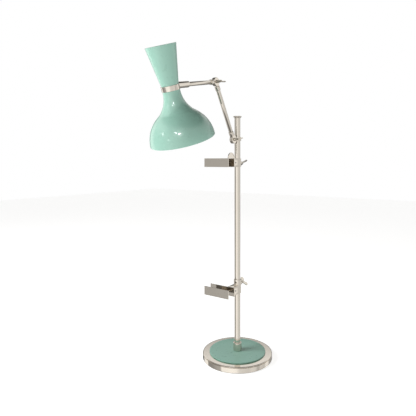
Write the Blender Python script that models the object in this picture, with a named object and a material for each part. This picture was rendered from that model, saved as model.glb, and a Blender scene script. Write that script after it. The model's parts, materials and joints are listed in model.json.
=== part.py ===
"""Adjustable easel floor lamp: a weighted round base, a nickel pole, two picture brackets clamped to the pole,
and a two-piece arm that carries a double-cone shade.

Metres, +Z up. The origin is the centre of the base's underside. The pole stands on +Z, the arms reach
towards -Y, and the plates of the picture brackets run along X.
"""
import math

import bmesh
import bpy
from mathutils import Matrix, Vector

GAP = 0.0003                      # clearance kept between neighbouring pieces

# Base and pole
BASE_RADIUS = 0.165
BASE_HEIGHT = 0.030
BASE_WALL = 0.0025
DISC_RADIUS = 0.1335
DISC_TOP = 0.035
PAD_RADIUS = 0.158
PAD_THICKNESS = 0.002
WEIGHT_RADIUS = 0.145
WEIGHT_BOTTOM = PAD_THICKNESS + GAP
WEIGHT_TOP = 0.0270
POLE_RADIUS = 0.014
POLE_BORE = 0.0122
POLE_TOP = 1.1460
COLLAR_RADIUS = 0.020
COLLAR_TOP = 0.0733
CAP_RADIUS = 0.020
CAP_TOP = 1.156
STUD_RADIUS = 0.006
STUD_TOP = 0.058
STUD_BORE = 0.0064
NUT_POCKET_RADIUS = 0.017
NUT_POCKET_TOP = 0.0165
GLAND_HEIGHT = 0.0145

# Clamps that slide and turn on the pole
LINER_INNER = POLE_RADIUS + GAP
LINER_OUTER = 0.0152
CLAMP_BORE = LINER_OUTER + GAP
CLAMP_RADIUS = 0.0175

# Picture brackets
LOWER_BRACKET_Z = 0.3305
UPPER_BRACKET_Z = 0.9333
PLATE_HALF_HEIGHT = 0.02025
PLATE_LEFT = -0.1128
PLATE_RIGHT = 0.0236
PLATE_THICKNESS = 0.003
BACK_PLATE_Y = -0.0610            # rear face of the back plate
FRONT_PLATE_Y = -0.1104           # rear face of the front plate
BLOCK_HALF_WIDTH = 0.016
LOWER_SLEEVE_RISE = 0.0235
LOWER_WING_Z = 0.0205
SET_SCREW_Y = -0.040

# Arms, in the plane X = 0
POLE_JOINT = Vector((0.0, -0.0372, 1.043))
ELBOW = Vector((0.0, -0.181, 1.2933))
NECK = Vector((0.0, -0.4811, 1.2237))
UPPER_ARM_DROP = math.radians(11.5)   # the upper arm slopes down towards the shade
SHADE_TILT = math.radians(20.56)      # the shade's top leans away from the pole
POLE_EYE_RADIUS = 0.0195
ELBOW_EYE_RADIUS = 0.0195
EYE_THICKNESS = 0.0074
FERRULE_RADIUS = 0.0118
FERRULE_END = 0.040
LOWER_TUBE_RADIUS = 0.0095
UPPER_TUBE_RADIUS = 0.00925
TUBE_BORE = 0.0080
SLEEVE_START = 0.1985
SLEEVE_RADIUS = 0.0133

# How far each wing screw is turned about its own axis, in degrees
WING_TURNS = {"lower_bracket": 44, "upper_bracket": -34, "pole_joint": -70, "elbow": 90}

# Shade
BAND_RADIUS = 0.0366
BAND_HALF_HEIGHT = 0.0105
NECK_RADIUS = 0.0346
CONE_TOP_Z = 0.162
CONE_TOP_RADIUS = 0.0604
BELL_DEPTH = 0.211
BELL_RADIUS = 0.1318
CONE_WALL = 0.0010
BELL_WALL = 0.0012


def clear_scene():
    for item in list(bpy.data.objects):
        bpy.data.objects.remove(item, do_unlink=True)


def principled(name, color, roughness, metallic):
    mat = bpy.data.materials.new(name)
    mat.use_nodes = True
    shader = mat.node_tree.nodes["Principled BSDF"]
    shader.inputs["Base Color"].default_value = (*color, 1.0)
    shader.inputs["Roughness"].default_value = roughness
    shader.inputs["Metallic"].default_value = metallic
    mat.diffuse_color = (*color, 1.0)
    return mat


def link_mesh(name, bm, mat=None, smooth_angle=30):
    bmesh.ops.recalc_face_normals(bm, faces=bm.faces[:])
    mesh = bpy.data.meshes.new(name)
    bm.to_mesh(mesh)
    bm.free()
    mesh.shade_smooth()
    mesh.set_sharp_from_angle(angle=math.radians(smooth_angle))
    if mat:
        mesh.materials.append(mat)
    obj = bpy.data.objects.new(name, mesh)
    bpy.context.scene.collection.objects.link(obj)
    return obj


def lathe(name, profile, mat=None, steps=32, ring=False):
    """Turn an (r, z) outline round Z. A ring's outline closes on itself, any other starts and ends at r = 0."""
    bm = bmesh.new()
    verts = [bm.verts.new((radius, 0.0, z)) for radius, z in profile]
    pairs = list(zip(verts, verts[1:]))
    if ring:
        pairs.append((verts[-1], verts[0]))
    edges = [bm.edges.new(pair) for pair in pairs]
    bmesh.ops.spin(bm, geom=verts + edges, cent=(0, 0, 0), axis=(0, 0, 1), angle=math.tau, steps=steps,
                   use_merge=True)
    bmesh.ops.remove_doubles(bm, verts=bm.verts[:], dist=1e-6)
    return link_mesh(name, bm, mat)


def rod(name, radius, start, end, mat=None, steps=24):
    return lathe(name, [(0, end), (radius, end), (radius, start), (0, start)], mat, steps)


def tube(name, outer, inner, start, end, mat=None, steps=32, chamfer=0.0):
    outline = [(inner, start), (outer - chamfer, start), (outer, start + chamfer)]
    outline += [(outer, end - chamfer), (outer - chamfer, end), (inner, end)]
    if not chamfer:
        outline = [(inner, start), (outer, start), (outer, end), (inner, end)]
    return lathe(name, outline, mat, steps, ring=True)


def box(name, low, high, mat=None, bevel=0.0):
    bm = bmesh.new()
    bmesh.ops.create_cube(bm, size=1.0)
    low = Vector(low)
    high = Vector(high)
    size = high - low
    bmesh.ops.scale(bm, vec=size, verts=bm.verts[:])
    bmesh.ops.translate(bm, vec=(low + high) / 2, verts=bm.verts[:])
    if bevel:
        bmesh.ops.bevel(bm, geom=bm.edges[:], offset=bevel, segments=2, profile=0.5, affect="EDGES")
    return link_mesh(name, bm, mat)


def hull(name, points, mat=None):
    bm = bmesh.new()
    verts = [bm.verts.new(point) for point in points]
    result = bmesh.ops.convex_hull(bm, input=verts)
    unused = [item for item in result["geom_interior"] if isinstance(item, bmesh.types.BMVert)]
    bmesh.ops.delete(bm, geom=unused, context="VERTS")
    bmesh.ops.dissolve_limit(bm, angle_limit=math.radians(1), verts=bm.verts[:], edges=bm.edges[:])
    return link_mesh(name, bm, mat)


def hide(operand):
    operand.hide_render = True
    operand.display_type = "WIRE"


def combine(obj, operand, operation):
    modifier = obj.modifiers.new(operation.lower(), "BOOLEAN")
    modifier.operation = operation
    modifier.solver = "EXACT"
    modifier.object = operand
    operand.parent = obj
    hide(operand)


def join(obj, operand):
    combine(obj, operand, "UNION")


def cut(obj, operand):
    combine(obj, operand, "DIFFERENCE")


def turn(obj, rotation, location=(0, 0, 0)):
    """Turn and move an object's mesh, so that its own origin stays where its parent's is."""
    obj.data.transform(Matrix.Translation(location) @ rotation)
    return obj


ALONG_X = Matrix.Rotation(math.radians(90), 4, "Y")
ALONG_Y = Matrix.Rotation(math.radians(-90), 4, "X")


def pivot(name, location, angle=0.0, parent=None):
    """An empty on a joint's axis, leant about X by the given angle."""
    empty = bpy.data.objects.new(name, None)
    empty.location = location
    empty.rotation_euler = (angle, 0, 0)
    empty.parent = parent
    bpy.context.scene.collection.objects.link(empty)
    return empty


def hang(parent, *pieces):
    for piece in pieces:
        piece.parent = parent


# ---------------------------------------------------------------- stand

def felt_pad(mat):
    return rod("felt_pad", PAD_RADIUS, 0.0, PAD_THICKNESS, mat, 48)


def base_weight(mat):
    bottom = WEIGHT_BOTTOM
    outline = [(STUD_BORE, WEIGHT_TOP), (WEIGHT_RADIUS, WEIGHT_TOP), (WEIGHT_RADIUS, bottom),
               (NUT_POCKET_RADIUS, bottom), (NUT_POCKET_RADIUS, NUT_POCKET_TOP), (STUD_BORE, NUT_POCKET_TOP)]
    return lathe("base_weight", outline, mat, 48, ring=True)


def base_shell(mat):
    """Spun nickel cover: a rounded lip, a shallow groove under it, and a plain wall."""
    inside = BASE_RADIUS - BASE_WALL
    under = BASE_HEIGHT - BASE_WALL
    outline = [(POLE_RADIUS + GAP, BASE_HEIGHT), (0.1610, BASE_HEIGHT), (0.1638, 0.0290), (0.1645, 0.0272),
               (0.1630, 0.0256), (BASE_RADIUS, 0.0242), (BASE_RADIUS, 0.0045), (0.1640, 0.0025),
               (inside, 0.0025), (inside, 0.0240), (inside - 0.002, under), (POLE_RADIUS + GAP, under)]
    shell = lathe("base_shell", outline, mat, 80, ring=True)
    hole = turn(rod("gland_hole", 0.0063, 0.150, 0.175), ALONG_Y, (0, 0, GLAND_HEIGHT))
    cut(shell, hole)
    return shell


def base_disc(mat):
    low = BASE_HEIGHT + GAP
    inner = POLE_RADIUS + GAP
    outline = [(inner, low), (DISC_RADIUS, low), (DISC_RADIUS, DISC_TOP - 0.0018),
               (DISC_RADIUS - 0.0018, DISC_TOP), (inner, DISC_TOP)]
    return lathe("base_disc", outline, mat, 80, ring=True)


def cord_gland(mat):
    """Bush in the back of the base, where the supply cord would enter."""
    outline = [(0.0035, 0.1590), (0.0060, 0.1590), (0.0060, 0.1654), (0.0085, 0.1654), (0.0085, 0.1676),
               (0.0062, 0.1712), (0.0035, 0.1712)]
    return turn(lathe("cord_gland", outline, mat, 20, ring=True), ALONG_Y, (0, 0, GLAND_HEIGHT))


def pole_collar(mat):
    low = DISC_TOP + GAP
    inner = POLE_RADIUS + GAP
    outline = [(inner, low), (COLLAR_RADIUS, low), (COLLAR_RADIUS, COLLAR_TOP - 0.0022),
               (COLLAR_RADIUS - 0.0022, COLLAR_TOP), (inner, COLLAR_TOP)]
    return lathe("pole_collar", outline, mat, 40, ring=True)


def pole_parts(nickel, steel):
    tube("pole_tube", POLE_RADIUS, POLE_BORE, WEIGHT_TOP + GAP, POLE_TOP, nickel, 40)
    cap = [(0, CAP_TOP), (CAP_RADIUS - 0.0014, CAP_TOP), (CAP_RADIUS, CAP_TOP - 0.0012),
           (CAP_RADIUS, CAP_TOP - 0.0042), (0.0165, CAP_TOP - 0.0080), (0.0150, POLE_TOP + GAP),
           (POLE_BORE - GAP, POLE_TOP + GAP), (POLE_BORE - GAP, POLE_TOP - 0.014), (0, POLE_TOP - 0.014)]
    lathe("pole_cap", cap, nickel, 40)
    plug = [(STUD_BORE, WEIGHT_TOP + GAP), (POLE_BORE - GAP, WEIGHT_TOP + GAP), (POLE_BORE - GAP, 0.052),
            (STUD_BORE, 0.052)]
    lathe("pole_foot_plug", plug, steel, 24, ring=True)


def foot_fastening(steel):
    rod("pole_stud", STUD_RADIUS, 0.0055, STUD_TOP, steel, 20)
    washer_top = NUT_POCKET_TOP - GAP
    tube("stud_washer", 0.0120, STUD_BORE, washer_top - 0.0016, washer_top, steel, 24)
    nut_top = washer_top - 0.0016 - GAP
    nut_foot = nut_top - 0.0070
    nut = lathe("stud_nut", [(0, nut_top), (0.0108, nut_top), (0.0108, nut_foot), (0, nut_foot)], steel, 6)
    cut(nut, rod("nut_bore", STUD_BORE, 0.0, 0.03))


# ---------------------------------------------------------------- shared small parts

def pole_liner(name, low, high, mat):
    return tube(name, LINER_OUTER, LINER_INNER, low, high, mat, 32)


def wing_screw(name, shank, hub, mat):
    """Wing screw along Z: a shank below z = 0, then a tapered hub with two rounded wings."""
    outline = [(0, hub), (0.0042, hub), (0.0052, hub - 0.001), (0.0072, 0.0015), (0.0065, 0.0),
               (0.0040, 0.0), (0.0040, -shank), (0, -shank)]
    screw = lathe(name, outline, mat, 20)
    half = 0.0017
    lobe_x = 0.0148
    lobe_z = 0.0255
    lobe = 0.0098
    for side in (-1, 1):
        points = []
        for y in (-half, half):
            points += [(side * 0.0012, y, 0.0050), (side * 0.0012, y, 0.0190)]
            for k in range(14):
                angle = math.tau * k / 14
                points.append((side * (lobe_x + lobe * math.cos(angle)), y, lobe_z + lobe * math.sin(angle)))
        join(screw, hull(f"{name}_wing{side}", points))
    return screw


def socket_screw(name, length, radius, mat):
    """Headless screw along Z with its outer face at z = 0 and a hexagon socket in it."""
    screw = rod(name, radius, -length, 0.0, mat, 20)
    socket = rod(f"{name}_socket", radius * 0.58, -0.0026, 0.002, None, 6)
    cut(screw, socket)
    return screw


# ---------------------------------------------------------------- picture brackets

def bracket_clamp(name, rise, wing_z, mat):
    half = PLATE_HALF_HEIGHT
    front = BACK_PLATE_Y + GAP
    clamp = lathe(f"{name}_clamp", [(0, half + rise), (CLAMP_RADIUS - 0.001, half + rise),
                                    (CLAMP_RADIUS, half + rise - 0.001), (CLAMP_RADIUS, -half + 0.001),
                                    (CLAMP_RADIUS - 0.001, -half), (0, -half)], mat, 32)
    join(clamp, box(f"{name}_block", (-BLOCK_HALF_WIDTH, front, -half), (BLOCK_HALF_WIDTH, -0.002, half),
                    None, 0.0012))
    boss = [(0, 0.0262), (0.0086, 0.0262), (0.0098, 0.0250), (0.0098, 0.0), (0, 0.0)]
    join(clamp, turn(lathe(f"{name}_boss", boss, None, 28), ALONG_Y, (0, 0, wing_z)))
    cut(clamp, rod(f"{name}_pole_bore", CLAMP_BORE, -0.1, 0.1, None, 32))
    cut(clamp, turn(rod(f"{name}_stem_bore", 0.0073, -0.090, -0.0215), ALONG_Y))
    cut(clamp, turn(rod(f"{name}_wing_bore", 0.0043, 0.008, 0.040), ALONG_Y, (0, 0, wing_z)))
    cut(clamp, turn(rod(f"{name}_set_bore", 0.0043, 0.0, 0.030), ALONG_X, (0, SET_SCREW_Y, 0)))
    return clamp


def bracket_plate(name, rear, mat):
    half = PLATE_HALF_HEIGHT
    return box(name, (PLATE_LEFT, rear - PLATE_THICKNESS, -half), (PLATE_RIGHT, rear, half), mat, 0.0005)


def floor_ledge(name, mat):
    """Strap under the channel that holds the front plate and carries the picture's lower edge."""
    low = -PLATE_HALF_HEIGHT
    return box(name, (-0.100, FRONT_PLATE_Y + GAP, low), (-0.045, BACK_PLATE_Y - PLATE_THICKNESS - GAP, low + 0.003),
               mat, 0.0004)


def arch_bridge(name, mat):
    """Half-round bridge that stands on the plates' right ends, with a sunk web inside its rim."""
    front = FRONT_PLATE_Y - PLATE_THICKNESS
    radius = (BACK_PLATE_Y - front) / 2
    middle = (BACK_PLATE_Y + front) / 2
    foot = PLATE_HALF_HEIGHT + GAP
    disc = turn(rod(name, radius, -0.002, 0.002, mat, 46), ALONG_X)
    cut(disc, box(f"{name}_half", (-0.01, -0.06, -0.06), (0.01, 0.06, 0.0)))
    for side in (-1, 1):
        sunk = turn(rod(f"{name}_sunk{side}", radius - 0.0034, 0.0012, 0.01, None, 46),
                    ALONG_X if side > 0 else Matrix.Rotation(math.pi, 4, "Z") @ ALONG_X)
        cut(disc, sunk)
    disc.location = (PLATE_RIGHT - 0.002, middle, foot)
    return disc


def picture_bracket(name, height, rise, wing_z, turned_out, mats):
    nickel = mats["nickel"]
    centre = pivot(f"{name}_axis", (0, 0, height))
    half = PLATE_HALF_HEIGHT
    liner = pole_liner(f"{name}_liner", -half, half + rise, mats["nylon"])
    clamp = bracket_clamp(name, rise, wing_z, nickel)
    stem = turn(rod(f"{name}_stem", 0.0070, BACK_PLATE_Y + GAP, -0.0222, mats["steel"]), ALONG_Y)
    back = bracket_plate(f"{name}_back_plate", BACK_PLATE_Y, nickel)
    front = bracket_plate(f"{name}_front_plate", FRONT_PLATE_Y, nickel)
    screw = socket_screw(f"{name}_set_screw", 0.0081, 0.0040, mats["steel"])
    turn(screw, ALONG_X, (BLOCK_HALF_WIDTH - GAP, SET_SCREW_Y, 0))
    turn(bpy.data.objects[f"{name}_set_screw_socket"], ALONG_X, (BLOCK_HALF_WIDTH - GAP, SET_SCREW_Y, 0))
    seat = 0.0268 + turned_out
    wing_axis = pivot(f"{name}_wing_axis", (0, seat, wing_z), math.radians(-90), centre)
    wing = wing_screw(f"{name}_wing_screw", seat - 0.0160, 0.0215, nickel)
    hang(wing_axis, wing)
    wing.rotation_euler = (0, 0, math.radians(WING_TURNS[name]))
    hang(centre, liner, clamp, stem, back, front, screw)
    return centre


# ---------------------------------------------------------------- arms

def eye_fitting(name, eye_radius, side, spigot, mat):
    """Arm end along +Z: an offset eye round the X axis, a neck, a ferrule and a spigot for the tube."""
    near = GAP * 2 * side
    far = near + EYE_THICKNESS * side
    low_x = min(near, far)
    high_x = max(near, far)
    eye = turn(lathe(name, [(0, high_x), (eye_radius - 0.0012, high_x), (eye_radius, high_x - 0.0012),
                            (eye_radius, low_x + 0.0012), (eye_radius - 0.0012, low_x), (0, low_x)], mat, 32),
               ALONG_X)
    shoulder = eye_radius + 0.0022
    wide = FERRULE_RADIUS - 0.0035
    inset = 0.0004 * side
    neck = []
    for y in (-wide, wide):
        for x in (near + inset, far - inset):
            neck += [(x, y, 0.006), (x, y, shoulder + 0.003)]
    join(eye, hull(f"{name}_neck", neck))
    ferrule = [(0, spigot), (TUBE_BORE - GAP, spigot), (TUBE_BORE - GAP, FERRULE_END),
               (FERRULE_RADIUS - 0.001, FERRULE_END), (FERRULE_RADIUS, FERRULE_END - 0.001),
               (FERRULE_RADIUS, shoulder + 0.002), (FERRULE_RADIUS - 0.002, shoulder), (0, shoulder)]
    join(eye, lathe(f"{name}_ferrule", ferrule, None, 32))
    cut(eye, turn(rod(f"{name}_bolt_bore", 0.0043, -0.03, 0.03), ALONG_X))
    return eye


def arm_clamp(mats):
    """Ring on the pole with one ear for the arm's joint and a rear boss for its set screw."""
    low = -0.0055
    high = 0.0125
    offset = -POLE_JOINT.y
    centre = pivot("arm_clamp_axis", (0, 0, POLE_JOINT.z))
    clamp = lathe("arm_clamp", [(0, high), (CLAMP_RADIUS - 0.001, high), (CLAMP_RADIUS, high - 0.001),
                                (CLAMP_RADIUS, low + 0.001), (CLAMP_RADIUS - 0.001, low), (0, low)],
                  mats["nickel"], 32)
    outer = -2 * GAP - EYE_THICKNESS
    ear = turn(lathe("arm_clamp_ear", [(0, -2 * GAP), (POLE_EYE_RADIUS - 0.0012, -2 * GAP),
                                       (POLE_EYE_RADIUS, -2 * GAP - 0.0012), (POLE_EYE_RADIUS, outer + 0.0012),
                                       (POLE_EYE_RADIUS - 0.0012, outer), (0, outer)], None, 32),
               ALONG_X, (0, -offset, 0))
    join(clamp, ear)
    web_low = (outer + 0.0004, -offset, low + 0.0005)
    join(clamp, box("arm_clamp_web", web_low, (-2 * GAP - 0.0004, -0.010, high - 0.0005)))
    boss = turn(rod("arm_clamp_boss", 0.0062, 0.0, 0.0225), ALONG_Y, (0, 0, 0.0035))
    join(clamp, boss)
    cut(clamp, rod("arm_clamp_pole_bore", CLAMP_BORE, -0.1, 0.1, None, 32))
    cut(clamp, turn(rod("arm_clamp_set_bore", 0.0033, 0.010, 0.040), ALONG_Y, (0, 0, 0.0035)))
    cut(clamp, turn(rod("arm_clamp_bolt_bore", 0.0043, -0.03, 0.03), ALONG_X, (0, -offset, 0)))
    liner = pole_liner("arm_liner", low, high, mats["nylon"])
    screw = socket_screw("arm_clamp_set_screw", 0.0058, 0.0030, mats["steel"])
    for piece in (screw, bpy.data.objects["arm_clamp_set_screw_socket"]):
        turn(piece, ALONG_Y, (0, 0.0222, 0.0035))
    hang(centre, clamp, liner, screw)


def joint_hardware(name, place, eye_radius, mats):
    """Washer between two eyes, and the wing screw that clamps them, on the joint's own axis."""
    axis = pivot(f"{name}_axis", place)
    washer = turn(tube(f"{name}_washer", eye_radius - 0.006, 0.0045, -0.0003, 0.0003, mats["nylon"], 32), ALONG_X)
    wing_axis = pivot(f"{name}_wing_axis", (2 * GAP + EYE_THICKNESS + GAP, 0, 0), parent=axis)
    wing_axis.rotation_euler = (0, math.radians(90), 0)
    wing = wing_screw(f"{name}_wing_screw", 0.0150, 0.0215, mats["nickel"])
    wing.rotation_euler = (0, 0, math.radians(WING_TURNS[name]))
    hang(wing_axis, wing)
    hang(axis, washer)


def lower_arm(mats):
    reach = ELBOW - POLE_JOINT
    lean = math.atan2(-reach.y, reach.z)
    length = reach.length
    axis = pivot("lower_arm_axis", POLE_JOINT, lean)
    bottom = eye_fitting("lower_arm_bottom_eye", POLE_EYE_RADIUS, 1, 0.058, mats["nickel"])
    top = eye_fitting("lower_arm_top_eye", ELBOW_EYE_RADIUS, 1, 0.058, mats["nickel"])
    top.location = (0, 0, length)
    top.rotation_euler = (math.pi, 0, 0)
    barrel = tube("lower_arm_tube", LOWER_TUBE_RADIUS, TUBE_BORE, FERRULE_END + GAP, length - FERRULE_END - GAP,
                  mats["nickel"], 32)
    hang(axis, bottom, top, barrel)


def upper_arm(mats):
    axis = pivot("upper_arm_axis", ELBOW, math.pi / 2 + UPPER_ARM_DROP)
    eye = eye_fitting("upper_arm_eye", ELBOW_EYE_RADIUS, -1, 0.058, mats["nickel"])
    barrel = tube("upper_arm_tube", UPPER_TUBE_RADIUS, TUBE_BORE, FERRULE_END + GAP, 0.246, mats["nickel"], 32)
    hang(axis, eye, barrel)


# ---------------------------------------------------------------- shade

def bezier(p0, p1, p2, p3, count):
    points = []
    for k in range(count + 1):
        t = k / count
        u = 1 - t
        weights = (u ** 3, 3 * u * u * t, 3 * u * t * t, t ** 3)
        points.append(tuple(sum(w * p[i] for w, p in zip(weights, (p0, p1, p2, p3))) for i in (0, 1)))
    return points


def bell_outline():
    """Outside of the bell as (r, z), from the neck down to the rim: a flare that turns over into a dome."""
    turn_over = (0.0682, -0.0973)
    neck_end = (NECK_RADIUS, -BAND_HALF_HEIGHT - 0.002)
    flare = bezier(neck_end, (NECK_RADIUS, -0.0524), (0.0488, -0.0756), turn_over, 5)
    dome = bezier(turn_over, (0.1014, -0.1212), (0.1299, -0.1557), (BELL_RADIUS, -BELL_DEPTH), 7)
    return [(NECK_RADIUS, -GAP)] + flare + dome[1:]


def shell_outline(outer, wall):
    """Close an outline into a thin wall: the inside runs at the wall's thickness along each point's normal."""
    inner = []
    for k, point in enumerate(outer):
        before = Vector(outer[max(k - 1, 0)])
        after = Vector(outer[min(k + 1, len(outer) - 1)])
        along = (after - before).normalized()
        normal = Vector((along.y, -along.x))
        if normal.x > 0:
            normal = -normal
        inner.append((point[0] + normal.x * wall, point[1] + normal.y * wall))
    inner[0] = (outer[0][0] - wall, outer[0][1])
    inner[-1] = (outer[-1][0] - wall, outer[-1][1])
    return outer + inner[::-1]


def shade_shells(parent, mats):
    cone = [(NECK_RADIUS, GAP), (NECK_RADIUS, BAND_HALF_HEIGHT), (NECK_RADIUS + 0.0003, BAND_HALF_HEIGHT + 0.002),
            (CONE_TOP_RADIUS, CONE_TOP_Z)]
    upper = lathe("upper_shade", shell_outline(cone, CONE_WALL), mats["mint"], 48, ring=True)
    lower = lathe("lower_shade", shell_outline(bell_outline(), BELL_WALL), mats["mint"], 64, ring=True)
    half = BAND_HALF_HEIGHT
    inner = NECK_RADIUS + GAP
    band_outline = [(inner, -half), (BAND_RADIUS - 0.0008, -half), (BAND_RADIUS, -half + 0.0010),
                    (BAND_RADIUS, half - 0.0010), (BAND_RADIUS - 0.0008, half), (inner, half)]
    band = lathe("neck_band", band_outline, mats["nickel"], 48, ring=True)
    hang(parent, upper, lower, band)


def swivel_sleeve(parent, shade_frame, mats):
    """Sleeve that turns on the arm's end. Its far end is coped to sit against the band."""
    outline = [(0, 0.290), (SLEEVE_RADIUS, 0.290), (SLEEVE_RADIUS, SLEEVE_START + 0.0015),
               (SLEEVE_RADIUS - 0.0015, SLEEVE_START), (0, SLEEVE_START)]
    sleeve = lathe("swivel_sleeve", outline, mats["nickel"], 32)
    cut(sleeve, rod("swivel_bore", UPPER_TUBE_RADIUS + GAP, SLEEVE_START - 0.01, 0.2465, None, 32))
    cut(sleeve, rod("swivel_cable_bore", 0.0042, 0.240, 0.300, None, 20))
    cope = rod("swivel_cope", BAND_RADIUS + GAP, -0.05, 0.05, None, 48)
    cut(sleeve, cope)
    cope.parent = shade_frame
    hang(parent, sleeve)


def lampholder(name, radius, lip, length, sign, mats):
    """Cup that opens away from the neck, for a bulb's cap."""
    wall = 0.0018
    start = 0.0013 * sign
    end = length * sign
    outline = [(0.0048, start), (radius * 0.72, start), (radius, start + 0.010 * sign), (radius, end - 0.006 * sign),
               (lip, end - 0.005 * sign), (lip, end), (radius - wall, end),
               (radius - wall, start + 0.012 * sign), (0.0048, start + 0.012 * sign)]
    return lathe(name, outline, mats["bakelite"], 20, ring=True)


def bulb(name, cap_radius, cap_start, cap_length, globe_radius, length, sign, mats):
    """Lamp bulb: a screw cap, a neck that widens, and a round end."""
    neck_end = cap_start + cap_length
    centre = cap_start + length - globe_radius
    outline = [(0, cap_start), (cap_radius * 0.45, cap_start), (cap_radius, cap_start + 0.004),
               (cap_radius, neck_end)]
    outline += bezier((cap_radius, neck_end + 0.001), (cap_radius * 1.05, (neck_end * 2 + centre) / 3),
                      (globe_radius, (neck_end + centre * 2) / 3), (globe_radius, centre), 5)
    for k in range(1, 6):
        angle = math.pi / 2 * k / 6
        outline.append((globe_radius * math.cos(angle), centre + globe_radius * math.sin(angle)))
    outline.append((0, centre + globe_radius))
    return lathe(name, [(radius, z * sign) for radius, z in outline], mats["glass"], 20)


def shade_lamps(parent, mats):
    inside = NECK_RADIUS - BELL_WALL - GAP
    plate = tube("holder_plate", inside, 0.0052, -0.001, 0.001, mats["steel"], 36)
    nipple = tube("holder_nipple", 0.0045, 0.0030, -0.010, 0.010, mats["steel"], 20)
    lower_holder = lampholder("lower_lampholder", 0.0185, 0.0205, 0.052, -1, mats)
    upper_holder = lampholder("upper_lampholder", 0.0140, 0.0155, 0.040, 1, mats)
    lower_bulb = bulb("lower_bulb", 0.0130, 0.0200, 0.034, 0.0300, 0.110, -1, mats)
    upper_bulb = bulb("upper_bulb", 0.0068, 0.0180, 0.026, 0.0175, 0.092, 1, mats)
    hang(parent, plate, nipple, lower_holder, upper_holder, lower_bulb, upper_bulb)


def shade(mats):
    axis = pivot("swivel_axis", ELBOW, math.pi / 2 + UPPER_ARM_DROP)
    shade_frame = pivot("shade_frame", NECK, SHADE_TILT)
    swivel_sleeve(axis, shade_frame, mats)
    shade_shells(shade_frame, mats)
    shade_lamps(shade_frame, mats)


def build():
    clear_scene()
    mats = {
        "nickel": principled("polished_nickel", (0.78, 0.74, 0.69), 0.12, 1.0),
        "mint": principled("mint_lacquer", (0.37, 0.66, 0.54), 0.22, 0.0),
        "disc": principled("base_lacquer", (0.33, 0.55, 0.48), 0.22, 0.0),
        "iron": principled("cast_iron", (0.10, 0.10, 0.10), 0.70, 0.6),
        "steel": principled("zinc_steel", (0.55, 0.56, 0.57), 0.35, 1.0),
        "nylon": principled("white_nylon", (0.80, 0.79, 0.75), 0.50, 0.0),
        "felt": principled("dark_felt", (0.05, 0.05, 0.05), 0.95, 0.0),
        "rubber": principled("black_rubber", (0.04, 0.04, 0.04), 0.70, 0.0),
        "bakelite": principled("black_bakelite", (0.03, 0.03, 0.03), 0.35, 0.0),
        "glass": principled("opal_glass", (0.93, 0.92, 0.88), 0.15, 0.0),
    }
    felt_pad(mats["felt"])
    base_weight(mats["iron"])
    base_shell(mats["nickel"])
    base_disc(mats["disc"])
    cord_gland(mats["rubber"])
    pole_collar(mats["nickel"])
    pole_parts(mats["nickel"], mats["steel"])
    foot_fastening(mats["steel"])
    lower = picture_bracket("lower_bracket", LOWER_BRACKET_Z, LOWER_SLEEVE_RISE, LOWER_WING_Z, 0.009, mats)
    hang(lower, floor_ledge("lower_bracket_ledge", mats["nickel"]))
    upper = picture_bracket("upper_bracket", UPPER_BRACKET_Z, 0.0, -0.001, 0.002, mats)
    hang(upper, arch_bridge("upper_bracket_arch", mats["nickel"]))
    arm_clamp(mats)
    joint_hardware("pole_joint", POLE_JOINT, POLE_EYE_RADIUS, mats)
    joint_hardware("elbow", ELBOW, ELBOW_EYE_RADIUS, mats)
    lower_arm(mats)
    upper_arm(mats)
    shade(mats)


build()
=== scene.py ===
"""The looks of the adjustable arm floor lamp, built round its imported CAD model.

Each visible round or cast piece is rebuilt with fine curvature in the place of its CAD node. Flat plates and
small hardware keep their CAD shape. Every piece has a procedural material.
"""
import json
import math

import bmesh
import bpy
from mathutils import Matrix, Vector

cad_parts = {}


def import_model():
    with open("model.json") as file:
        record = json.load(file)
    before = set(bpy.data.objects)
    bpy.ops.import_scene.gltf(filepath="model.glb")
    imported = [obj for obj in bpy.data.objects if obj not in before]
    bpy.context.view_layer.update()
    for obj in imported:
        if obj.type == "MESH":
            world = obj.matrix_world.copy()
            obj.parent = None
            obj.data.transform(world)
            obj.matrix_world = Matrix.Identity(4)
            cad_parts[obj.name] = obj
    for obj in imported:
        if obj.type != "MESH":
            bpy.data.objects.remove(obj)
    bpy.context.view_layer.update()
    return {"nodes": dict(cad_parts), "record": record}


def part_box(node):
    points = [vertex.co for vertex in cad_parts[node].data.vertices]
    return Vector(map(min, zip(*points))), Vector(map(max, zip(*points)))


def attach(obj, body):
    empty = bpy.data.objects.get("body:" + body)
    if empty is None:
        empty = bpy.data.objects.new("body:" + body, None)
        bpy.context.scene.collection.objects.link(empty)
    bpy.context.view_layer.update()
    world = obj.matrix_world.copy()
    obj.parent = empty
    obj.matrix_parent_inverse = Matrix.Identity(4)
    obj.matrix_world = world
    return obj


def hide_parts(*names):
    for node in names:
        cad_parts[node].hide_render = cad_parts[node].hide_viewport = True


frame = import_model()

GAP = 0.0003

# Stand
POLE_RADIUS = 0.014
POLE_BORE = 0.0122
FOOT_BORE = 0.0143
GLAND_HEIGHT = 0.0145
CAP_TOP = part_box("pole_cap")[1][2]
POLE_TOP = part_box("pole_tube")[1][2]
POLE_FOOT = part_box("pole_tube")[0][2]
COLLAR_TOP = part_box("pole_collar")[1][2]
BASE_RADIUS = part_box("base_shell")[1][0]
BASE_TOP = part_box("base_shell")[1][2]
DISC_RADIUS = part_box("base_disc")[1][0]
DISC_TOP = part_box("base_disc")[1][2]

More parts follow.
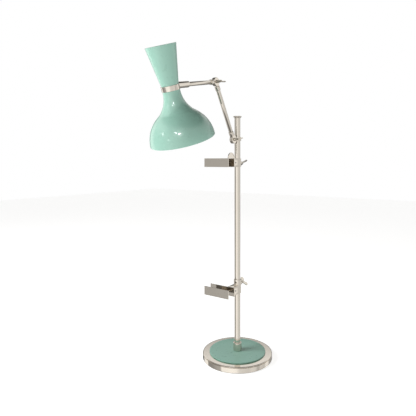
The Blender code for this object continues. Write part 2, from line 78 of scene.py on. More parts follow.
# Arms and shade
POLE_JOINT = Vector((0.0, -0.0372, 1.043))
ELBOW = Vector((0.0, -0.181, 1.2933))
NECK = Vector((0.0, -0.4811, 1.2237))
UPPER_ARM_DROP = math.radians(11.5)
SHADE_TILT = math.radians(20.56)
NECK_RADIUS = 0.0346
BAND_RADIUS = 0.0366
BAND_HALF = 0.0105
CONE_TOP = (0.0604, 0.162)
BELL_RIM = (0.1318, -0.211)
EYE_RADIUS = 0.0195
EYE_THICKNESS = 0.0074
FERRULE_RADIUS = 0.0118
FERRULE_END = 0.040
TUBE_BORE = 0.0080
SLEEVE_START = 0.1985
SLEEVE_RADIUS = 0.0133

# Clamps
CLAMP_RADIUS = 0.0175
CLAMP_BORE = 0.0155
BLOCK_HALF = 0.016
BACK_PLATE = -0.0610
SCREW_BORE = 0.0043

# Wing screws: each lobe is a disc whose centre lies beside and above the hub's seat
LOBE_RADIUS = 0.0098
LOBE_ASIDE = 0.0148
LOBE_HEIGHT = 0.0255
LOBE_HALF = 0.0017
LOBE_STEPS = 28
SCREW_DEPTH = 0.015
# Per bracket: the wing's turn in degrees, height over the plates' middle, seat behind the pole's axis
BRACKET_WINGS = (("lower_bracket", 44, 0.0205, 0.0358), ("upper_bracket", -34, -0.001, 0.0288))

# Studio
FLOOR_GLOW = 0.76
FILL = 0.29
# Brightness of the studio's walls by direction, in degrees from +X towards +Y
WALLS = ((-180, 1.30), (-173, 1.30), (-169, 0.36), (-150, 0.36), (-128, 0.52), (-114, 0.56), (-111, 1.20),
         (-75, 1.32), (-60, 1.22), (-50, 0.92), (-19, 0.82), (-8, 0.92), (6, 0.84), (11, 0.58), (17, 0.60),
         (24, 0.80), (42, 0.70), (50, 1.05), (64, 1.05), (72, 0.45), (95, 0.35), (115, 0.15), (156, 0.15),
         (163, 1.10))
STUDIO_WALLS = [((degrees + 180) / 360, level) for degrees, level in WALLS]
# Where the walls give way to floor and ceiling, and their brightness, from straight down (0) to straight up (1)
CEILING_SHARE = ((0.12, 1.0), (0.18, 0.0), (0.655, 0.0), (0.715, 1.0))
CEILING = ((0.18, 0.22), (0.20, 1.0), (0.79, 1.0), (0.84, 0.08))
LIGHT_AIM = Vector((0, -0.45, 1.05))
KEY = {"azimuth": -136, "elevation": 28, "distance": 3.6, "size": (2.4, 2.4), "power": 110}
PANE_DISTANCE = 3.3
# Each pane's azimuth and elevation in degrees, width, height and power
PANES = ((-60, 16.5, 0.34, 0.30, 19.0), (-74, 18.5, 0.44, 0.20, 9.0), (-122, 14.0, 0.50, 0.40, 5.0),
         (-98, -4.0, 0.30, 0.24, 1.2))

REACH = ELBOW - POLE_JOINT
LEAN = math.atan2(-REACH.y, REACH.z)
LOWER_ARM = Matrix.Translation(POLE_JOINT) @ Matrix.Rotation(LEAN, 4, "X")
TURN_OVER = Matrix.Rotation(math.pi, 4, "X")
LOWER_ARM_TOP = LOWER_ARM @ Matrix.Translation((0, 0, REACH.length)) @ TURN_OVER
UPPER_ARM = Matrix.Translation(ELBOW) @ Matrix.Rotation(math.pi / 2 + UPPER_ARM_DROP, 4, "X")
SHADE = Matrix.Translation(NECK) @ Matrix.Rotation(SHADE_TILT, 4, "X")
ALONG_X = Matrix.Rotation(math.radians(90), 4, "Y")
ALONG_Y = Matrix.Rotation(math.radians(-90), 4, "X")
AT_GLAND = Matrix.Translation((0, 0, GLAND_HEIGHT)) @ ALONG_Y


# ---------------------------------------------------------------- mesh helpers

def fillet(points, radius, count=4):
    """Round the corners of an (r, z) outline. Corners on the axis and gentle bends stay as they are."""
    result = [points[0]]
    for before, corner, after in zip(points, points[1:], points[2:]):
        p, c, n = Vector(before), Vector(corner), Vector(after)
        back, ahead = p - c, n - c
        reach = min(radius, back.length * 0.45, ahead.length * 0.45)
        if back.length == 0 or ahead.length == 0 or back.angle(ahead) > math.radians(165) or c.x == 0:
            result.append(corner)
            continue
        start, end = c + back.normalized() * reach, c + ahead.normalized() * reach
        for k in range(count + 1):
            t = k / count
            point = start.lerp(c, t).lerp(c.lerp(end, t), t)
            result.append((point.x, point.y))
    result.append(points[-1])
    return result


def fillet_ring(points, radius, count=4):
    """Round every corner of an (r, z) outline that closes on itself."""
    return fillet([points[-1]] + points + [points[0]], radius, count)[1:-1]


def bezier(p0, p1, p2, p3, count):
    points = []
    for k in range(count + 1):
        t = k / count
        u = 1 - t
        weights = (u ** 3, 3 * u * u * t, 3 * u * t * t, t ** 3)
        points.append(tuple(sum(w * p[i] for w, p in zip(weights, (p0, p1, p2, p3))) for i in (0, 1)))
    return points


def finish_mesh(name, bm, place=Matrix.Identity(4), angle=40):
    bmesh.ops.recalc_face_normals(bm, faces=bm.faces[:])
    bm.transform(place)
    mesh = bpy.data.meshes.new(name)
    bm.to_mesh(mesh)
    bm.free()
    mesh.shade_smooth()
    mesh.set_sharp_from_angle(angle=math.radians(angle))
    piece = bpy.data.objects.new(name, mesh)
    bpy.context.scene.collection.objects.link(piece)
    return piece


def lathe(name, outline, place=Matrix.Identity(4), steps=72, ring=False, angle=40):
    """Turn an (r, z) outline round Z."""
    bm = bmesh.new()
    verts = [bm.verts.new((radius, 0.0, z)) for radius, z in outline]
    pairs = list(zip(verts, verts[1:]))
    if ring:
        pairs.append((verts[-1], verts[0]))
    edges = [bm.edges.new(pair) for pair in pairs]
    bmesh.ops.spin(bm, geom=verts + edges, cent=(0, 0, 0), axis=(0, 0, 1), angle=math.tau, steps=steps,
                   use_merge=True)
    bmesh.ops.remove_doubles(bm, verts=bm.verts[:], dist=1e-6)
    return finish_mesh(name, bm, place, angle)


def rod(name, radius, low, high, place=Matrix.Identity(4), steps=48):
    return lathe(name, [(0, high), (radius, high), (radius, low), (0, low)], place, steps)


def tube_outline(outer, inner, low, high):
    return [(inner, low), (outer, low), (outer, high), (inner, high)]


def box(name, low, high, bevel):
    bm = bmesh.new()
    bmesh.ops.create_cube(bm, size=1.0)
    low, high = Vector(low), Vector(high)
    bmesh.ops.scale(bm, vec=high - low, verts=bm.verts[:])
    bmesh.ops.translate(bm, vec=(low + high) / 2, verts=bm.verts[:])
    bmesh.ops.bevel(bm, geom=bm.edges[:], offset=bevel, segments=3, profile=0.5, affect="EDGES")
    return finish_mesh(name, bm)


def hull(name, points):
    bm = bmesh.new()
    verts = [bm.verts.new(point) for point in points]
    result = bmesh.ops.convex_hull(bm, input=verts)
    unused = [item for item in result["geom_interior"] if isinstance(item, bmesh.types.BMVert)]
    bmesh.ops.delete(bm, geom=unused, context="VERTS")
    return finish_mesh(name, bm)


def bake(piece, angle=40):
    """Apply a piece's modifiers to its mesh."""
    graph = bpy.context.evaluated_depsgraph_get()
    mesh = bpy.data.meshes.new_from_object(piece.evaluated_get(graph))
    piece.modifiers.clear()
    piece.data = mesh
    mesh.name = piece.name
    mesh.shade_smooth()
    mesh.set_sharp_from_angle(angle=math.radians(angle))
    return piece


def shaped(piece, joined=(), cutters=(), angle=40):
    """Join solids to a piece and cut others from it, then remove them."""
    for operation, operands in (("UNION", joined), ("DIFFERENCE", cutters)):
        for operand in operands:
            modifier = piece.modifiers.new(operation, "BOOLEAN")
            modifier.operation = operation
            modifier.solver = "EXACT"
            modifier.object = operand
    bake(piece, angle)
    for operand in (*joined, *cutters):
        bpy.data.objects.remove(operand, do_unlink=True)
    return piece


def cast(piece, voxel, rounds):
    """Soften a piece's joins and edges, as a polished casting has them."""
    remesh = piece.modifiers.new("remesh", "REMESH")
    remesh.mode = "VOXEL"
    remesh.voxel_size = voxel
    soften = piece.modifiers.new("soften", "SMOOTH")
    soften.iterations = rounds
    soften.factor = 0.5
    return bake(piece, 180)


# ---------------------------------------------------------------- materials

class Material:
    """A Principled material with its node tree at hand."""

    def __init__(self, name, color, roughness, metallic=0.0, **sockets):
        self.data = bpy.data.materials.new(name)
        self.data.use_nodes = True
        self.tree = self.data.node_tree
        self.shader = self.tree.nodes["Principled BSDF"]
        self.shader.inputs["Base Color"].default_value = (*color, 1)
        self.shader.inputs["Roughness"].default_value = roughness
        self.shader.inputs["Metallic"].default_value = metallic
        for socket, value in sockets.items():
            self.shader.inputs[socket.replace("_", " ")].default_value = value
        self.place = self.node("ShaderNodeTexCoord").outputs["Object"]
        self.color = color

    def node(self, kind, **inputs):
        node = self.tree.nodes.new(kind)
        for socket, value in inputs.items():
            socket = node.inputs[socket.replace("_", " ")]
            if isinstance(value, bpy.types.NodeSocket):
                self.tree.links.new(value, socket)
            else:
                socket.default_value = value
        return node

    def noise(self, scale, detail):
        return self.node("ShaderNodeTexNoise", Vector=self.place, Scale=scale, Detail=detail).outputs["Fac"]

    def between(self, factor, low, high, at=(0.3, 0.7)):
        node = self.node("ShaderNodeMapRange", Value=factor)
        node.inputs["From Min"].default_value, node.inputs["From Max"].default_value = at
        node.inputs["To Min"].default_value, node.inputs["To Max"].default_value = low, high
        return node.outputs["Result"]

    def set(self, socket, output):
        self.tree.links.new(output, self.shader.inputs[socket])

    def tint(self, factor, amount):
        """Vary the colour a little, from darker to lighter, by a factor."""
        ramp = self.tree.nodes.new("ShaderNodeValToRGB")
        self.tree.links.new(factor, ramp.inputs["Fac"])
        for stop, place, scale in zip(ramp.color_ramp.elements, (0.3, 0.7), (1 - amount, 1 + amount)):
            stop.position = place
            stop.color = (*[min(channel * scale, 1) for channel in self.color], 1)
        self.set("Base Color", ramp.outputs["Color"])

    def bump(self, height, strength, distance):
        node = self.node("ShaderNodeBump", Height=height, Strength=strength, Distance=distance)
        self.set("Normal", node.outputs["Normal"])


def nickel(name):
    mat = Material(name, (0.715, 0.668, 0.600), 0.09, 1.0)
    mat.tint(mat.noise(9, 4), 0.025)
    mat.set("Roughness", mat.between(mat.noise(38, 5), 0.05, 0.13))
    mat.bump(mat.noise(700, 2), 0.012, 0.0004)
    return mat.data


def lacquer(name, color, coat):
    mat = Material(name, color, 0.30, Coat_Weight=coat, Coat_Roughness=0.035)
    mat.tint(mat.noise(14, 3), 0.02)
    mat.set("Roughness", mat.between(mat.noise(60, 4), 0.26, 0.36))
    mat.bump(mat.noise(240, 2), 0.02, 0.0005)
    return mat.data


def enamel(name, color):
    mat = Material(name, color, 0.42)
    mat.tint(mat.noise(20, 3), 0.02)
    mat.set("Roughness", mat.between(mat.noise(90, 3), 0.36, 0.48))
    mat.bump(mat.noise(500, 3), 0.05, 0.0004)
    return mat.data


def zinc(name):
    mat = Material(name, (0.34, 0.345, 0.355), 0.34, 1.0)
    mat.tint(mat.noise(120, 5), 0.10)
    mat.set("Roughness", mat.between(mat.noise(220, 4), 0.26, 0.42))
    mat.bump(mat.noise(900, 3), 0.08, 0.0003)
    return mat.data


def casting(name):
    mat = Material(name, (0.045, 0.045, 0.047), 0.62, 0.2)
    mat.tint(mat.noise(160, 5), 0.25)
    mat.bump(mat.noise(420, 5), 0.5, 0.0012)
    return mat.data


def plastic(name, color, low, high):
    mat = Material(name, color, low)
    mat.tint(mat.noise(70, 3), 0.06)
    mat.set("Roughness", mat.between(mat.noise(150, 3), low, high))
    mat.bump(mat.noise(1100, 3), 0.06, 0.0002)
    return mat.data


def felt(name):
    mat = Material(name, (0.035, 0.036, 0.038), 0.95, Sheen_Weight=0.5, Sheen_Roughness=0.5)
    fibre = mat.noise(1300, 6)
    mat.tint(fibre, 0.5)
    mat.bump(fibre, 0.8, 0.0008)
    return mat.data


def opal(name):
    mat = Material(name, (0.93, 0.92, 0.88), 0.12, Subsurface_Weight=0.25, Subsurface_Scale=0.01)
    mat.tint(mat.noise(30, 3), 0.015)
    mat.set("Roughness", mat.between(mat.noise(80, 3), 0.10, 0.18))
    return mat.data


FINISHES = {
    "polished_nickel": nickel("polished_nickel"),
    "mint_lacquer": lacquer("mint_lacquer", (0.352, 0.622, 0.515), 0.55),
    # base_lacquer is the shade's mint paint made lighter: painted light that makes up for the lesser light
    # falling on the upward-facing disc
    "base_lacquer": lacquer("base_lacquer", (0.375, 0.700, 0.575), 0.15),
    "cast_iron": casting("cast_iron"),
    "zinc_steel": zinc("zinc_steel"),
    "white_nylon": plastic("white_nylon", (0.78, 0.77, 0.72), 0.45, 0.6),
    "dark_felt": felt("dark_felt"),
    "black_rubber": plastic("black_rubber", (0.025, 0.025, 0.026), 0.6, 0.8),
    "black_bakelite": plastic("black_bakelite", (0.018, 0.017, 0.016), 0.22, 0.35),
    "opal_glass": opal("opal_glass"),
}
ENAMEL = enamel("white_enamel", (0.86, 0.86, 0.83))
SLOTS = {entry["node"]: entry["material_slot"] for entry in frame["record"]["subparts"]}
BODIES = {node: body for body, nodes in frame["record"]["behaviour"]["bodies"].items() for node in nodes}


def stand_in(piece, node):
    """Put a fine piece in the place of its CAD node, on the same body and with the same finish."""
    piece.name = f"{node}_look"
    slot = SLOTS[node]
    piece.data.materials.clear()
    piece.data.materials.append(FINISHES[slot])
    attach(piece, BODIES[node])
    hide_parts(node)
    return piece


# ---------------------------------------------------------------- stand

def base():
    top, inside = BASE_TOP, BASE_RADIUS - 0.0025
    outline = [(FOOT_BORE, top), (0.1592, top)]
    outline += bezier((0.1592, top), (0.1626, top), (0.1645, 0.0294), (0.1645, 0.0275), 12)[1:]
    outline += [(0.1643, 0.0269), (0.1622, 0.0262), (0.1622, 0.0254), (BASE_RADIUS, 0.0247)]
    outline += bezier((BASE_RADIUS, 0.0046), (BASE_RADIUS, 0.0034), (0.1646, 0.0025), (0.1638, 0.0025), 5)
    outline += [(inside, 0.0025), (inside, 0.0240), (inside - 0.002, 0.0275), (FOOT_BORE, 0.0275)]
    shell = lathe("base", outline, steps=192, ring=True, angle=30)
    hole = rod("hole", 0.0063, 0.150, 0.175, AT_GLAND)
    stand_in(shaped(shell, cutters=[hole], angle=30), "base_shell")
    low, high, edge = BASE_TOP + GAP, DISC_TOP, DISC_RADIUS
    disc = fillet_ring([(FOOT_BORE, low), (edge, low), (edge, high), (FOOT_BORE, high)], 0.0018, 6)
    stand_in(lathe("disc", disc, steps=192, ring=True), "base_disc")


def base_trim():
    pad = fillet([(0, 0.0020), (0.158, 0.0020), (0.158, 0.0), (0, 0.0)], 0.0006, 3)
    stand_in(lathe("pad", pad, steps=160), "felt_pad")
    gland = [(0.0035, 0.1590), (0.0060, 0.1590), (0.0060, 0.1654), (0.0085, 0.1654), (0.0085, 0.1676),
             (0.0062, 0.1712), (0.0035, 0.1712)]
    stand_in(lathe("gland", fillet_ring(gland, 0.0008, 4), AT_GLAND, 64, ring=True), "cord_gland")


def pole():
    collar = fillet_ring(tube_outline(0.0200, FOOT_BORE, DISC_TOP + GAP, COLLAR_TOP), 0.0016, 4)
    stand_in(lathe("collar", collar, steps=96, ring=True), "pole_collar")
    stand_in(lathe("pole", tube_outline(POLE_RADIUS, POLE_BORE, POLE_FOOT, POLE_TOP), steps=96, ring=True),
             "pole_tube")
    spigot = POLE_BORE - GAP
    cap = [(0, CAP_TOP), (0.0150, CAP_TOP), (0.0200, CAP_TOP - 0.0004), (0.0200, CAP_TOP - 0.0042)]
    cap += bezier((0.0200, CAP_TOP - 0.0042), (0.0172, CAP_TOP - 0.0050), (0.0153, CAP_TOP - 0.0070),
                  (0.0150, POLE_TOP + GAP), 6)[1:]
    cap += [(spigot, POLE_TOP + GAP), (spigot, POLE_TOP - 0.014), (0, POLE_TOP - 0.014)]
    stand_in(lathe("cap", fillet(cap, 0.0009, 3), steps=96), "pole_cap")


# ---------------------------------------------------------------- wing screws

def wing_screw(node, seat, turned, shank):
    """A cast wing screw: a waisted hub and two lobed wings that blend into it."""
    hub = [(0, 0.0215), (0.0040, 0.0215), (0.0052, 0.0195), (0.0062, 0.0080), (0.0072, 0.0015),
           (0.0068, 0.0001), (0.0040, 0.0), (0.0040, -shank), (0, -shank)]
    screw = lathe("hub", fillet(hub, 0.0008, 3), steps=40)
    wings = []
    for side in (-1, 1):
        points = []
        for y in (-LOBE_HALF, LOBE_HALF):
            points += [(side * 0.0012, y, 0.0045), (side * 0.0012, y, 0.0190)]
            for k in range(LOBE_STEPS):
                angle = math.tau * k / LOBE_STEPS
                aside = LOBE_ASIDE + LOBE_RADIUS * math.cos(angle)
                points.append((side * aside, y, LOBE_HEIGHT + LOBE_RADIUS * math.sin(angle)))
        wings.append(hull("wing", points))
    cast(shaped(screw, joined=wings), voxel=0.0005, rounds=3)
    screw.data.transform(seat @ Matrix.Rotation(math.radians(turned), 4, "Z"))
    stand_in(screw, node)


# ---------------------------------------------------------------- picture brackets

def bracket_clamp(name, boss_height):
    """The block that grips the pole: a sleeve, a square arm towards the plates and the wing screw's boss."""
    low, high = (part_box(f"{name}_clamp")[k][2] for k in (0, 1))
    bottom, top = (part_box(f"{name}_back_plate")[k][2] for k in (0, 1))
    middle = (bottom + top) / 2
    outline = [(0, high), (CLAMP_RADIUS, high), (CLAMP_RADIUS, low), (0, low)]
    sleeve = lathe("sleeve", fillet(outline, 0.0011, 3), steps=80)
    at_boss = Matrix.Translation((0, 0, boss_height)) @ ALONG_Y
    block = box("block", (-BLOCK_HALF, BACK_PLATE + GAP, bottom), (BLOCK_HALF, -0.002, top), bevel=0.0012)
    outline = [(0, 0.0262), (0.0098, 0.0262), (0.0098, 0.0), (0, 0.0)]
    boss = lathe("boss", fillet(outline, 0.0014, 4), at_boss, 56)
    cuts = [
        rod("pole_bore", CLAMP_BORE, -1, 2, steps=80),
        rod("stem_bore", 0.0073, -0.090, -0.0215, Matrix.Translation((0, 0, middle)) @ ALONG_Y),
        rod("wing_bore", SCREW_BORE, 0.008, 0.040, at_boss),
        rod("set_bore", SCREW_BORE, 0.0, 0.030, Matrix.Translation((0, -0.040, middle)) @ ALONG_X),
    ]
    stand_in(shaped(sleeve, [block, boss], cuts, angle=30), f"{name}_clamp")


def brackets():
    for name, turned, rise, seat in BRACKET_WINGS:
        box_low, box_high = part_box(f"{name}_back_plate")
        height = (box_low[2] + box_high[2]) / 2 + rise
        bracket_clamp(name, height)
        wing_screw(f"{name}_wing_screw", Matrix.Translation((0, seat, height)) @ ALONG_Y, turned, seat - 0.016)


# ---------------------------------------------------------------- arms

def eye_fitting(node, side, place):
    """Arm end: an offset eye, a neck that swells into a ferrule, and a spigot for the tube."""
    near, far = 2 * GAP * side, (2 * GAP + EYE_THICKNESS) * side
    low, high = min(near, far), max(near, far)
    shoulder = EYE_RADIUS + 0.0022
    outline = [(0, high), (EYE_RADIUS, high), (EYE_RADIUS, low), (0, low)]
    eye = lathe("eye", fillet(outline, 0.0013, 4), ALONG_X, 80)
    wide = FERRULE_RADIUS - 0.0035
    neck = [(x, y, z) for x in (near + 0.0004 * side, far - 0.0004 * side) for y in (-wide, wide)
            for z in (0.006, shoulder + 0.003)]
    barrel = [(0, 0.058), (TUBE_BORE - GAP, 0.058), (TUBE_BORE - GAP, FERRULE_END),
              (FERRULE_RADIUS, FERRULE_END), (FERRULE_RADIUS, shoulder), (0, shoulder)]
    ferrule = lathe("ferrule", fillet(barrel, 0.0014, 4), steps=64)
    bolt = rod("bolt", SCREW_BORE, -0.03, 0.03, ALONG_X)
    fitting = shaped(eye, [hull("neck", neck), ferrule], [bolt], angle=35)
    fitting.data.transform(place)
    stand_in(fitting, node)


def arm_clamp():
    """The ring that carries the arm, with one ear for the joint and a rear boss for its set screw."""
    low, high = (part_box("arm_liner")[k][2] for k in (0, 1))
    joint = POLE_JOINT
    inner, outer = -2 * GAP, -2 * GAP - EYE_THICKNESS
    outline = [(0, high), (CLAMP_RADIUS, high), (CLAMP_RADIUS, low), (0, low)]
    ring = lathe("ring", fillet(outline, 0.0011, 3), steps=80)
    ear = lathe("ear", fillet([(0, inner), (EYE_RADIUS, inner), (EYE_RADIUS, outer), (0, outer)], 0.0013, 4),
                Matrix.Translation(joint) @ ALONG_X, 80)
    web = box("web", (outer + 0.0004, joint.y, low + 0.0005), (inner - 0.0004, -0.010, high - 0.0005),
              bevel=0.0008)
    at_boss = Matrix.Translation((0, 0, joint.z + 0.0035)) @ ALONG_Y
    outline = [(0, 0.0225), (0.0062, 0.0225), (0.0062, 0.0), (0, 0.0)]
    boss = lathe("boss", fillet(outline, 0.0010, 3), at_boss, 48)
    cuts = [
        rod("pole_bore", CLAMP_BORE, 0.9, 1.2, steps=80),
        rod("set_bore", 0.0033, 0.010, 0.040, at_boss),
        rod("bolt_bore", SCREW_BORE, -0.03, 0.03, Matrix.Translation(joint) @ ALONG_X),
    ]
    stand_in(shaped(ring, [ear, web, boss], cuts, angle=35), "arm_clamp")


def arms():
    arm_clamp()
    eye_fitting("lower_arm_bottom_eye", 1, LOWER_ARM)
    eye_fitting("lower_arm_top_eye", 1, LOWER_ARM_TOP)
    eye_fitting("upper_arm_eye", -1, UPPER_ARM)
    lower = tube_outline(0.0095, TUBE_BORE, FERRULE_END + GAP, REACH.length - FERRULE_END - GAP)
    stand_in(lathe("tube", fillet_ring(lower, 0.0004, 2), LOWER_ARM, 64, ring=True), "lower_arm_tube")
    upper = tube_outline(0.00925, TUBE_BORE, FERRULE_END + GAP, 0.246)
    stand_in(lathe("tube", fillet_ring(upper, 0.0004, 2), UPPER_ARM, 64, ring=True), "upper_arm_tube")
    beside = 2 * GAP + EYE_THICKNESS + GAP
    for node, joint, turned in (("pole_joint_wing_screw", POLE_JOINT, -70), ("elbow_wing_screw", ELBOW, 90)):
        wing_screw(node, Matrix.Translation(joint + Vector((beside, 0, 0))) @ ALONG_X, turned, SCREW_DEPTH)


# ---------------------------------------------------------------- shade

def shell(outer, wall, bead):
    """Thin spun wall from its outside outline, with a rolled bead round its open end."""
    inner = []
    for k, point in enumerate(outer):
        before, after = Vector(outer[max(k - 1, 0)]), Vector(outer[min(k + 1, len(outer) - 1)])
        along = (after - before).normalized()
        normal = Vector((along.y, -along.x))
        if normal.x > 0:
            normal = -normal
        inner.append((point[0] + normal.x * wall, point[1] + normal.y * wall))
    inner[0] = (outer[0][0] - wall, outer[0][1])
    end, along = Vector(outer[-1]), (Vector(outer[-1]) - Vector(outer[-2])).normalized()
    side = Vector((along.y, -along.x))
    if side.x > 0:
        side = -side
    centre = end - along * bead + side * bead
    roll = []
    for k in range(1, 10):
        angle = math.pi * k / 10
        point = centre - side * bead * math.cos(angle) + along * bead * math.sin(angle)
        roll.append((point.x, point.y))
    stop = Vector(inner[-1]) - along * bead * 1.6
    return outer[:-1] + [tuple(end - along * bead)] + roll + [tuple(stop)] + inner[-3::-1]


def inside_enamel(piece):
    """Give the faces on the inside of a shell the white enamel."""
    piece.data.materials.append(ENAMEL)
    axis = SHADE.to_3x3() @ Vector((0, 0, 1))
    for face in piece.data.polygons:
        spoke = face.center - NECK
        spoke -= axis * spoke.dot(axis)
        if spoke.dot(face.normal) < -0.2 * spoke.length:
            face.material_index = 1


def shade():
    cone = [(NECK_RADIUS, GAP), (NECK_RADIUS, BAND_HALF)]
    foot, rim = Vector((NECK_RADIUS + 0.0003, BAND_HALF + 0.002)), Vector(CONE_TOP)
    cone += [tuple(foot.lerp(rim, k / 12)) for k in range(13)]
    upper = lathe("cone", shell(cone, 0.0010, 0.0008), SHADE, 144, ring=True)
    turn_over = (0.0682, -0.0973)
    bell = [(NECK_RADIUS, -GAP)]
    bell += bezier((NECK_RADIUS, -BAND_HALF - 0.002), (NECK_RADIUS, -0.0524), (0.0488, -0.0756), turn_over, 22)
    bell += bezier(turn_over, (0.1014, -0.1212), (0.1299, -0.1557), BELL_RIM, 30)[1:]
    lower = lathe("bell", shell(bell, 0.0012, 0.0009), SHADE, 192, ring=True)
    stand_in(upper, "upper_shade")
    stand_in(lower, "lower_shade")
    inside_enamel(upper)
    inside_enamel(lower)
    band = tube_outline(BAND_RADIUS, NECK_RADIUS + GAP, -BAND_HALF, BAND_HALF)
    stand_in(lathe("band", fillet_ring(band, 0.0009, 4), SHADE, 144, ring=True), "neck_band")


def sleeve():
    """The sleeve turns on the arm's end, and its far end is coped to the band."""
    outline = [(0, 0.290), (SLEEVE_RADIUS, 0.290), (SLEEVE_RADIUS, SLEEVE_START), (0, SLEEVE_START)]
    barrel = lathe("sleeve", fillet(outline, 0.0018, 4), UPPER_ARM, 72)
    cuts = [
        rod("bore", 0.00955, SLEEVE_START - 0.01, 0.2465, UPPER_ARM, 72),
        rod("cable", 0.0042, 0.240, 0.300, UPPER_ARM),
        rod("cope", BAND_RADIUS + GAP, -0.05, 0.05, SHADE, 144),
    ]
    stand_in(shaped(barrel, cutters=cuts, angle=30), "swivel_sleeve")


def lampholder(node, radius, lip, length, sign):
    """A moulded cup with a rolled lip, open towards its bulb."""
    start, end, inside = 0.0013 * sign, length * sign, radius - 0.0018
    outline = [(0.0048, start), (radius * 0.72, start), (radius, start + 0.010 * sign),
               (radius, end - 0.006 * sign), (lip, end - 0.005 * sign), (lip, end), (inside, end),
               (inside, start + 0.012 * sign), (0.0048, start + 0.012 * sign)]
    stand_in(lathe("holder", fillet_ring(outline, 0.0012, 4), SHADE, 72, ring=True), node)


def bulb(node, cap, start, neck, length, globe, sign):
    """A frosted bulb: a threaded cap, a swelling neck and a round end."""
    centre = start + length - globe
    outline = [(0, start), (cap * 0.45, start), (cap * 0.8, start + 0.003)]
    turns = 5
    for k in range(turns * 6 + 1):
        z = start + 0.004 + (neck - start - 0.005) * k / (turns * 6)
        outline.append((cap - 0.0004 + 0.0004 * math.cos(math.tau * k / 6), z))
    outline += bezier((cap, neck + 0.001), (cap * 1.05, (neck * 2 + centre) / 3),
                      (globe, (neck + centre * 2) / 3), (globe, centre), 14)
    for k in range(1, 16):
        angle = math.pi / 2 * k / 16
        outline.append((globe * math.cos(angle), centre + globe * math.sin(angle)))
    outline.append((0, centre + globe))
    stand_in(lathe("bulb", [(radius, z * sign) for radius, z in outline], SHADE, 64), node)


# ---------------------------------------------------------------- stage

def carry_over():
    """CAD nodes that keep their shape take their finishes."""
    for name, node in frame["nodes"].items():
        node.data.materials.clear()
        node.data.materials.append(FINISHES[SLOTS[name]])


def floor():
    bm = bmesh.new()
    bmesh.ops.create_grid(bm, x_segments=1, y_segments=1, size=9.0)
    ground = finish_mesh("floor", bm)
    mat = Material("pale_floor", (0.93, 0.93, 0.92), 0.75)
    mat.tint(mat.noise(3, 2), 0.004)
    mat.shader.inputs["Emission Color"].default_value = (1, 1, 1, 1)
    mat.shader.inputs["Emission Strength"].default_value = FLOOR_GLOW
    ground.data.materials.append(mat.data)
    ground.visible_glossy = False


def ramp(tree, factor, stops):
    """A ramp of slightly warm greys along a factor."""
    node = tree.nodes.new("ShaderNodeValToRGB")
    tree.links.new(factor, node.inputs["Fac"])
    elements = node.color_ramp.elements
    elements.remove(elements[-1])
    for k, (place, level) in enumerate(stops):
        stop = elements[0] if k == 0 else elements.new(1.0)
        stop.position = place
        stop.color = (level, level * 0.985, level * 0.96, 1)
    return node.outputs["Color"]


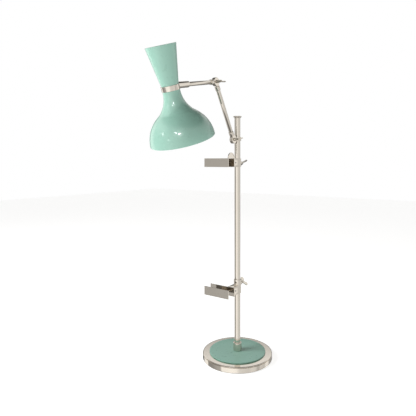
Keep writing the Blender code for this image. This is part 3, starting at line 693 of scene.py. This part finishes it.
def world():
    """A white studio: its walls differ with direction, which draws the bright and dark bands on the metal."""
    studio = bpy.data.worlds.new("studio")
    studio.use_nodes = True
    tree = studio.node_tree
    nodes, links = tree.nodes, tree.links
    way = nodes.new("ShaderNodeTexCoord")
    parts = nodes.new("ShaderNodeSeparateXYZ")
    links.new(way.outputs["Generated"], parts.inputs[0])
    azimuth = nodes.new("ShaderNodeMath")
    azimuth.operation = "ARCTAN2"
    links.new(parts.outputs["Y"], azimuth.inputs[0])
    links.new(parts.outputs["X"], azimuth.inputs[1])
    turn = nodes.new("ShaderNodeMapRange")
    turn.inputs["From Min"].default_value, turn.inputs["From Max"].default_value = -math.pi, math.pi
    links.new(azimuth.outputs[0], turn.inputs["Value"])
    rise = nodes.new("ShaderNodeMapRange")
    rise.inputs["From Min"].default_value = -1.0
    links.new(parts.outputs["Z"], rise.inputs["Value"])
    ceiling = nodes.new("ShaderNodeMix")
    ceiling.data_type = "RGBA"
    links.new(ramp(tree, rise.outputs[0], CEILING_SHARE), ceiling.inputs["Factor"])
    links.new(ramp(tree, turn.outputs[0], STUDIO_WALLS), ceiling.inputs["A"])
    links.new(ramp(tree, rise.outputs[0], CEILING), ceiling.inputs["B"])
    path = nodes.new("ShaderNodeLightPath")
    fill = nodes.new("ShaderNodeMapRange")
    fill.inputs["To Min"].default_value, fill.inputs["To Max"].default_value = 1.0, FILL
    links.new(path.outputs["Is Diffuse Ray"], fill.inputs["Value"])
    light = nodes["Background"]
    links.new(ceiling.outputs["Result"], light.inputs["Color"])
    links.new(fill.outputs["Result"], light.inputs["Strength"])
    plain = nodes.new("ShaderNodeBackground")
    plain.inputs["Color"].default_value = (1, 1, 1, 1)
    mix = nodes.new("ShaderNodeMixShader")
    links.new(path.outputs["Is Camera Ray"], mix.inputs["Fac"])
    links.new(light.outputs[0], mix.inputs[1])
    links.new(plain.outputs[0], mix.inputs[2])
    links.new(mix.outputs[0], nodes["World Output"].inputs["Surface"])
    bpy.context.scene.world = studio


def lamp(name, azimuth, elevation, distance, size, power):
    """A flat light that faces the shade from a direction given in degrees."""
    data = bpy.data.lights.new(name, "AREA")
    data.shape = "RECTANGLE"
    data.size, data.size_y = size
    data.energy = power
    light = bpy.data.objects.new(name, data)
    turn, rise = math.radians(azimuth), math.radians(elevation)
    way = Vector((math.cos(rise) * math.cos(turn), math.cos(rise) * math.sin(turn), math.sin(rise)))
    light.location = LIGHT_AIM + distance * way
    light.rotation_euler = way.to_track_quat("Z", "Y").to_euler()
    bpy.context.scene.collection.objects.link(light)
    return light


def lights():
    """One broad soft key from the left, and small panes that only show as glints in the lacquer."""
    key = lamp("key", **KEY)
    key.visible_glossy = False
    lit = bpy.data.collections.new("lacquered")
    for piece in ("upper_shade_look", "lower_shade_look"):
        lit.objects.link(bpy.data.objects[piece])
    for k, (azimuth, elevation, width, height, power) in enumerate(PANES):
        pane = lamp(f"pane_{k}", azimuth, elevation, PANE_DISTANCE, (width, height), power)
        pane.visible_diffuse = False
        pane.light_linking.receiver_collection = lit


def camera():
    data = bpy.data.cameras.new("camera")
    data.lens = 36.8
    data.sensor_width = 36.0
    data.shift_x, data.shift_y = -0.0375, -0.113
    data.clip_end = 50.0
    eye = bpy.data.objects.new("camera", data)
    eye.location = (1.0961, -1.7223, 0.941)
    eye.rotation_euler = (math.radians(90), 0, math.radians(34.33))
    bpy.context.scene.collection.objects.link(eye)
    bpy.context.scene.camera = eye


carry_over()
base()
base_trim()
pole()
brackets()
arms()
shade()
sleeve()
lampholder("lower_lampholder", radius=0.0185, lip=0.0205, length=0.052, sign=-1)
lampholder("upper_lampholder", radius=0.0140, lip=0.0155, length=0.040, sign=1)
bulb("lower_bulb", cap=0.0130, start=0.0200, neck=0.0540, length=0.110, globe=0.0300, sign=-1)
bulb("upper_bulb", cap=0.0068, start=0.0180, neck=0.0440, length=0.092, globe=0.0175, sign=1)
floor()
world()
camera()
lights()
bpy.context.scene.view_settings.view_transform = "Standard"
